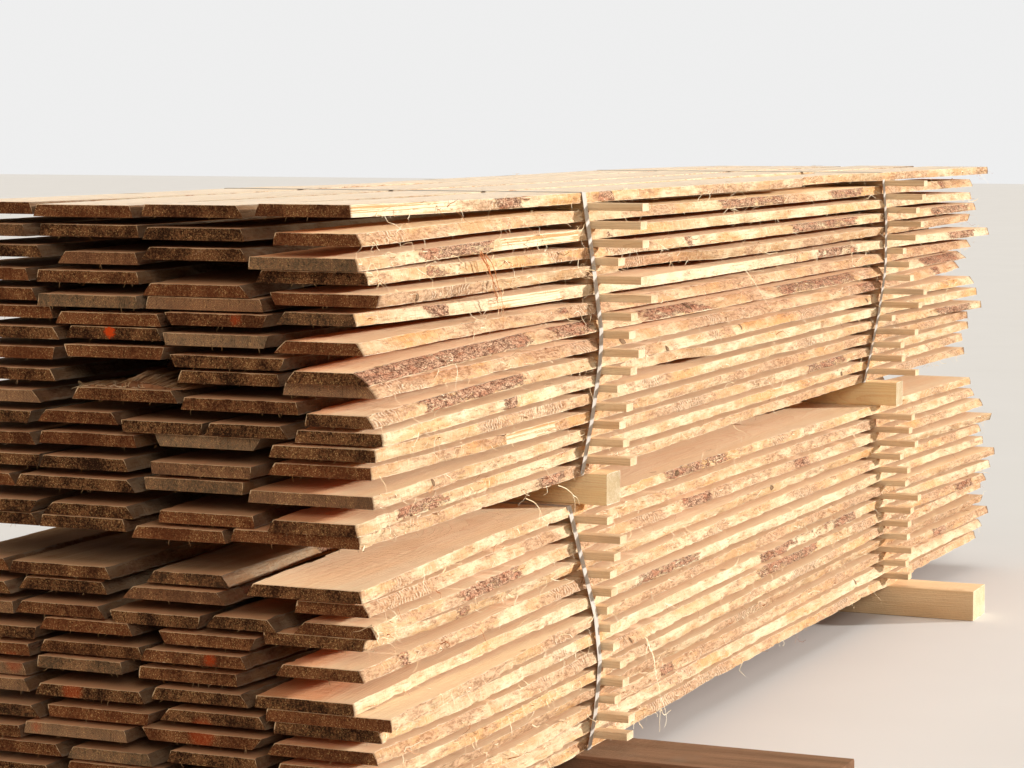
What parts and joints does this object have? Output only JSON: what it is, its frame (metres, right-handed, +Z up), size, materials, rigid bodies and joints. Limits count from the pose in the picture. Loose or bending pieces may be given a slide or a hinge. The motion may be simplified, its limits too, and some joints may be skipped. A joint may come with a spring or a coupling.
{
  "type": "stickered stack of waney-edge boards",
  "caption": "Air-drying stack of waney-edge softwood boards in two strapped bundles, with stickers between the layers and bearers below each bundle.",
  "frame": {"origin": "on the floor, midway between the ends and sides of the stack's bounding box", "axes": "+X along the boards towards the far end, where the pale new ground bearer lies; +Y to the left-hand side seen from the near end; +Z up"},
  "size_m": [5.1432, 2.3, 1.5001],
  "materials": {
    "board_wood": "rough sawn, bark edged, sun-greyed",
    "sticker_wood": "rough sawn",
    "mid_bearer_wood": "rough sawn",
    "old_bearer_wood": "weathered",
    "new_bearer_wood": "fresh sawn",
    "strap_plastic": "smooth"
  },
  "bodies": {
    "root": {"upper_layer_01": "board_wood", "upper_layer_02": "board_wood", "upper_layer_03": "board_wood", "upper_layer_04": "board_wood", "upper_layer_05": "board_wood", "upper_layer_06": "board_wood", "upper_layer_07": "board_wood", "upper_layer_08": "board_wood", "upper_layer_09": "board_wood", "upper_layer_10": "board_wood", "upper_layer_11": "board_wood", "upper_layer_12": "board_wood", "upper_layer_13": "board_wood", "upper_layer_14": "board_wood", "upper_layer_15": "board_wood", "upper_layer_16": "board_wood", "lower_layer_01": "board_wood", "lower_layer_02": "board_wood", "lower_layer_03": "board_wood", "lower_layer_04": "board_wood", "lower_layer_05": "board_wood", "lower_layer_06": "board_wood", "lower_layer_07": "board_wood", "lower_layer_08": "board_wood", "lower_layer_09": "board_wood", "lower_layer_10": "board_wood", "lower_layer_11": "board_wood", "lower_layer_12": "board_wood", "lower_layer_13": "board_wood", "lower_layer_14": "board_wood", "upper_stickers_near": "sticker_wood", "upper_stickers_far": "sticker_wood", "lower_stickers_near": "sticker_wood", "lower_stickers_far": "sticker_wood", "mid_bearer_near": "mid_bearer_wood", "mid_bearer_far": "mid_bearer_wood", "ground_bearer_near": "old_bearer_wood", "ground_bearer_far": "new_bearer_wood", "upper_strap_near": "strap_plastic", "upper_strap_far": "strap_plastic", "lower_strap_near": "strap_plastic"}
  },
  "joints": []
}
